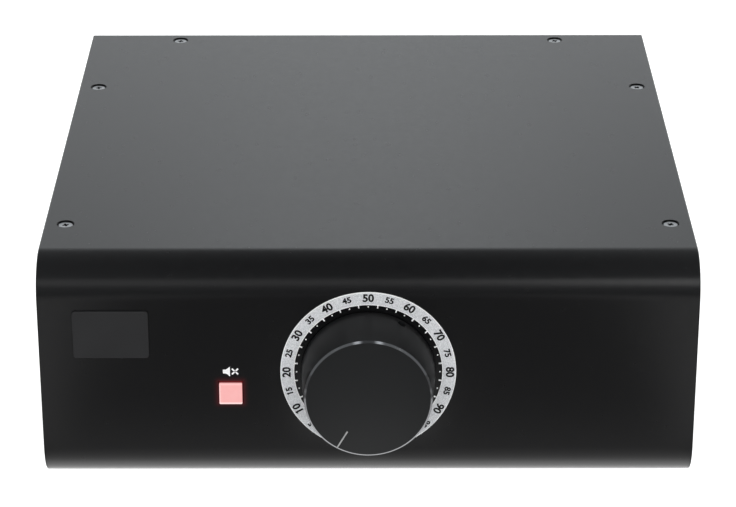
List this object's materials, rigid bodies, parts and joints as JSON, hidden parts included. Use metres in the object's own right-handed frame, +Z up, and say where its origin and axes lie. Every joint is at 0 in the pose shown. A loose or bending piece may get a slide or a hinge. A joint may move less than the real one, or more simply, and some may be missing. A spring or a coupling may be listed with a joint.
{
  "type": "studio monitor controller",
  "caption": "Desktop studio monitor controller: wrapped steel case with a large volume knob in a numbered ring, a lit mute button and rear multipin connectors.",
  "frame": {"origin": "on the table, under the centre of the whole outline, knob and rear connectors included", "axes": "+X to the right of someone facing the front, +Y from the knob to the rear panel, +Z up"},
  "size_m": [0.215, 0.2424, 0.085],
  "materials": {
    "case_black": "fine-textured matt powder coat",
    "frame_black": "matt powder coat",
    "zinc_steel": "bright zinc",
    "black_screw": "black zinc",
    "nickel": "bright nickel",
    "bright_steel": "turned",
    "knob_black": "black anodised, turned",
    "pointer_silver": "engraved line",
    "scale_silver": "fine-blasted, printed",
    "badge_grey": "satin",
    "foot_rubber": "matt",
    "mute_glow": "translucent, lit from behind",
    "lamp_red": "clear",
    "spring_steel": "spring wire",
    "black_plastic": "moulded",
    "rocker_black": "moulded",
    "selector_red": "moulded",
    "pot_grey": "moulded phenolic",
    "rotor_white": "moulded",
    "pot_metal": "die-cast zinc",
    "board_green": "glass-fibre laminate with solder mask",
    "relay_white": "moulded",
    "chip_black": "moulded",
    "capacitor_blue": "sleeved can",
    "heatsink_black": "black anodised",
    "ribbon_grey": "ribbed sleeve",
    "winding_tape": "varnished tape over the winding",
    "pad_rubber": "matt",
    "fuse_glass": "clear with end caps"
  },
  "bodies": {
    "housing": {"badge_plate": "badge_grey", "board_standoffs": "zinc_steel", "control_bracket": "zinc_steel", "filter_capacitors": "capacitor_blue", "ground_lift_body": "black_plastic", "heatsink": "heatsink_black", "inlet_pins": "nickel", "jack_screws": "zinc_steel", "line_amplifiers": "chip_black", "main_board": "board_green", "mains_inlet": "black_plastic", "multipin_inserts": "black_plastic", "multipin_shells": "nickel", "mute_board": "board_green", "mute_board_spacers": "zinc_steel", "mute_lamp": "lamp_red", "mute_relays": "relay_white", "mute_spring": "spring_steel", "mute_switch_body": "black_plastic", "pot_board": "board_green", "pot_bushing": "pot_metal", "pot_cups": "pot_grey", "pot_end_plate": "pot_grey", "pot_nut": "zinc_steel", "pot_terminals": "nickel", "pot_tie_rods": "zinc_steel", "power_switch_body": "black_plastic", "rear_panel": "frame_black", "ribbon_cable": "ribbon_grey", "ribbon_header": "black_plastic", "rubber_feet": "foot_rubber", "scale_ring": "scale_silver", "shell_screws": "black_screw", "side_frame_left": "frame_black", "side_frame_right": "frame_black", "transformer_bolt": "zinc_steel", "transformer_core": "winding_tape", "transformer_nut": "zinc_steel", "transformer_pads": "pad_rubber", "transformer_plate": "zinc_steel", "voltage_regulators": "chip_black", "voltage_selector_body": "black_plastic", "wrap_shell": "case_black"},
    "volume_knob": {"knob": "knob_black", "knob_pointer": "pointer_silver", "knob_grub_screw": "bright_steel", "pot_shaft": "bright_steel", "pot_rotors": "rotor_white"},
    "mute_button": {"mute_cap": "mute_glow", "mute_plunger": "black_plastic"},
    "fuse_drawer": {"fuse_drawer": "black_plastic", "mains_fuse": "fuse_glass"},
    "power_rocker": {"power_rocker": "rocker_black"},
    "ground_lift": {"ground_lift_slider": "black_plastic"},
    "voltage_selector": {"voltage_selector_slider": "selector_red"}
  },
  "joints": [
    {"name": "volume_turn", "type": "hinge", "parent": "housing", "child": "volume_knob", "pos_m": [0, -0.10136, 0.0465], "axis": [0, 1, 0], "range_deg": [0, 300]},
    {"name": "mute_press", "type": "slide", "parent": "housing", "child": "mute_button", "axis": [0, 1, 0], "range_m": [0, 0.0012], "stiffness_N_per_m": 500, "springref_m": -0.001, "deforming": ["mute_spring"]},
    {"name": "fuse_pull", "type": "slide", "parent": "housing", "child": "fuse_drawer", "axis": [0, 1, 0], "range_m": [0, 0.02]},
    {"name": "power_tip", "type": "hinge", "parent": "housing", "child": "power_rocker", "pos_m": [0.033, 0.11664, 0.057], "axis": [0, 0, -1], "range_deg": [0, 24]},
    {"name": "ground_lift_slide", "type": "slide", "parent": "housing", "child": "ground_lift", "axis": [1, 0, 0], "range_m": [0, 0.005]},
    {"name": "voltage_select_slide", "type": "slide", "parent": "housing", "child": "voltage_selector", "axis": [1, 0, 0], "range_m": [0, 0.005]}
  ]
}
